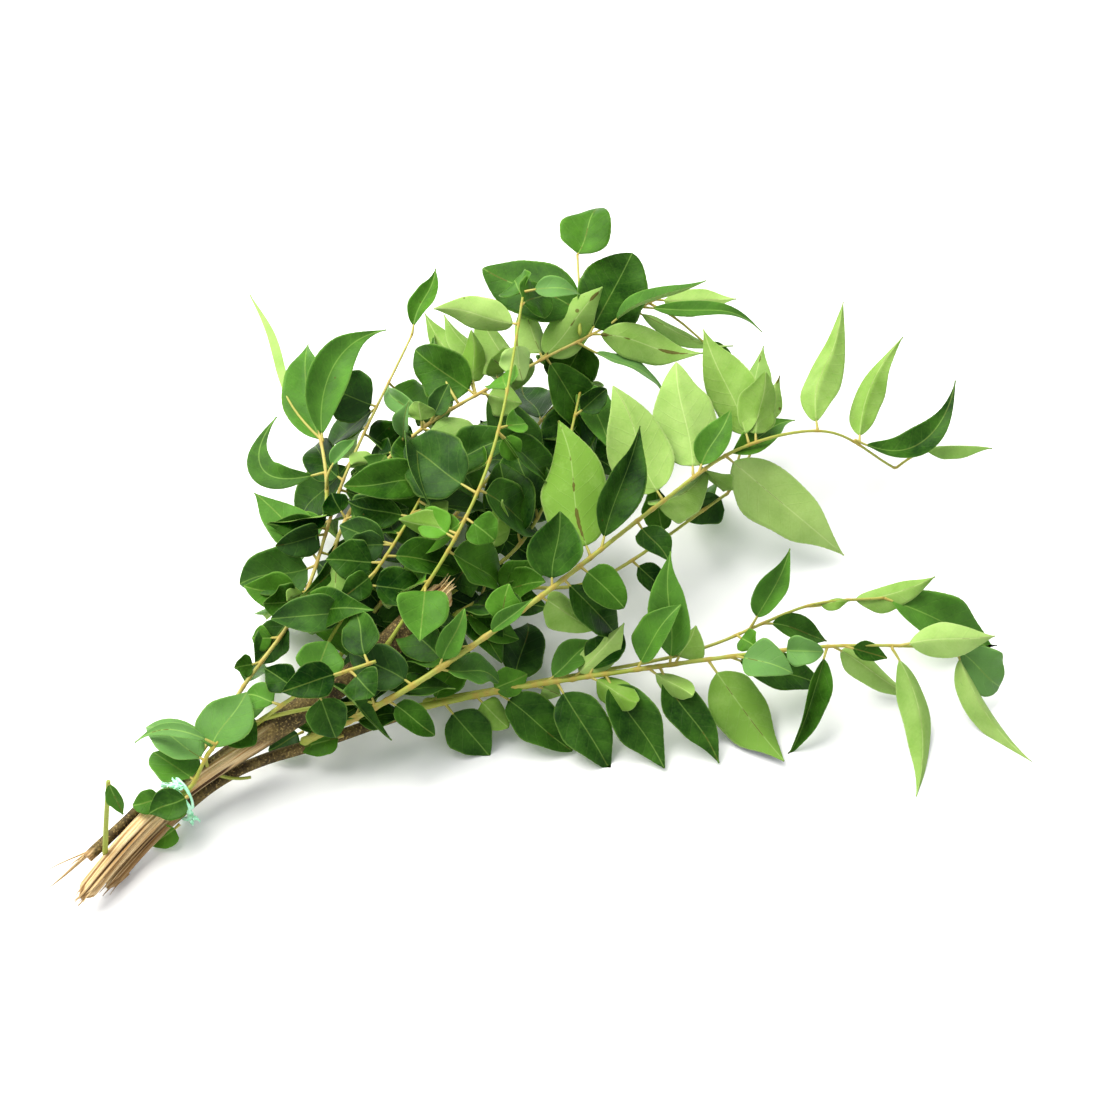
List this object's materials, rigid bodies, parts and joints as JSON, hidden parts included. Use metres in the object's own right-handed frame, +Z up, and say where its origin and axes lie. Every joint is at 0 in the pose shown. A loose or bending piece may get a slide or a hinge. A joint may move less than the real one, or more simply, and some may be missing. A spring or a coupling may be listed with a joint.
{
  "type": "tied bunch of curry leaf sprigs",
  "caption": "Bunch of fresh curry leaf branches: torn woody stems tied with twine near the cut ends, and long leafy fronds that fan out across the surface it lies on.",
  "frame": {"origin": "on the surface that the bunch lies on, under the middle of its bounding box", "axes": "+X from the torn stem ends towards the leaf tips, +Z up from the surface, +Y across the fan to the left when seen from the stem ends"},
  "size_m": [0.3437, 0.3024, 0.0772],
  "materials": {
    "leaf_upper": "dark green upper face of a leaflet, smooth and softly glossy",
    "leaf_underside": "pale lime underside of a leaflet, matte, with a yellowish midrib",
    "stalk": "yellow-green leaf stalk, smooth, half matte",
    "bark": "brown speckled bark, torn to pale straw-coloured fibres at the ends",
    "twine": "mint green plastic twine, slightly shiny"
  },
  "bodies": {
    "root": {"branch_main": "bark", "branch_second": "bark", "frond_back": "stalk", "frond_bed": "stalk", "frond_fork": "stalk", "frond_front": "stalk", "frond_inner": "stalk", "frond_inner_right": "stalk", "frond_left": "stalk", "frond_left_fork": "stalk", "frond_middle": "stalk", "frond_over": "stalk", "frond_shoot": "stalk", "frond_top": "stalk", "frond_top_twig": "stalk", "frond_under": "stalk", "leaf_back_1": "leaf_upper", "leaf_back_2": "leaf_upper", "leaf_back_3": "leaf_upper", "leaf_back_4": "leaf_underside", "leaf_caught": "leaf_upper", "leaf_fork_1": "leaf_upper", "leaf_fork_2": "leaf_upper", "leaf_front_1": "leaf_underside", "leaf_front_10": "leaf_upper", "leaf_front_11": "leaf_upper", "leaf_front_12": "leaf_upper", "leaf_front_2": "leaf_underside", "leaf_front_3": "leaf_underside", "leaf_front_4": "leaf_upper", "leaf_front_5": "leaf_underside", "leaf_front_6": "leaf_upper", "leaf_front_7": "leaf_upper", "leaf_front_8": "leaf_upper", "leaf_front_9": "leaf_upper", "leaf_grey": "leaf_upper", "leaf_inner_right_1": "leaf_upper", "leaf_left_1": "leaf_upper", "leaf_left_2": "leaf_upper", "leaf_left_fork_1": "leaf_upper", "leaf_left_fork_2": "leaf_upper", "leaf_left_fork_3": "leaf_underside", "leaf_low": "leaf_upper", "leaf_middle_1": "leaf_underside", "leaf_middle_10": "leaf_underside", "leaf_middle_2": "leaf_underside", "leaf_middle_3": "leaf_upper", "leaf_middle_4": "leaf_underside", "leaf_middle_5": "leaf_underside", "leaf_middle_6": "leaf_underside", "leaf_middle_7": "leaf_underside", "leaf_middle_8": "leaf_underside", "leaf_middle_9": "leaf_upper", "leaf_top_1": "leaf_upper", "leaf_top_2": "leaf_underside", "leaf_under_a": "leaf_upper", "leaf_under_b": "leaf_upper", "stub_dead": "bark", "tie": "twine", "twig_upright": "stalk"}
  },
  "joints": []
}
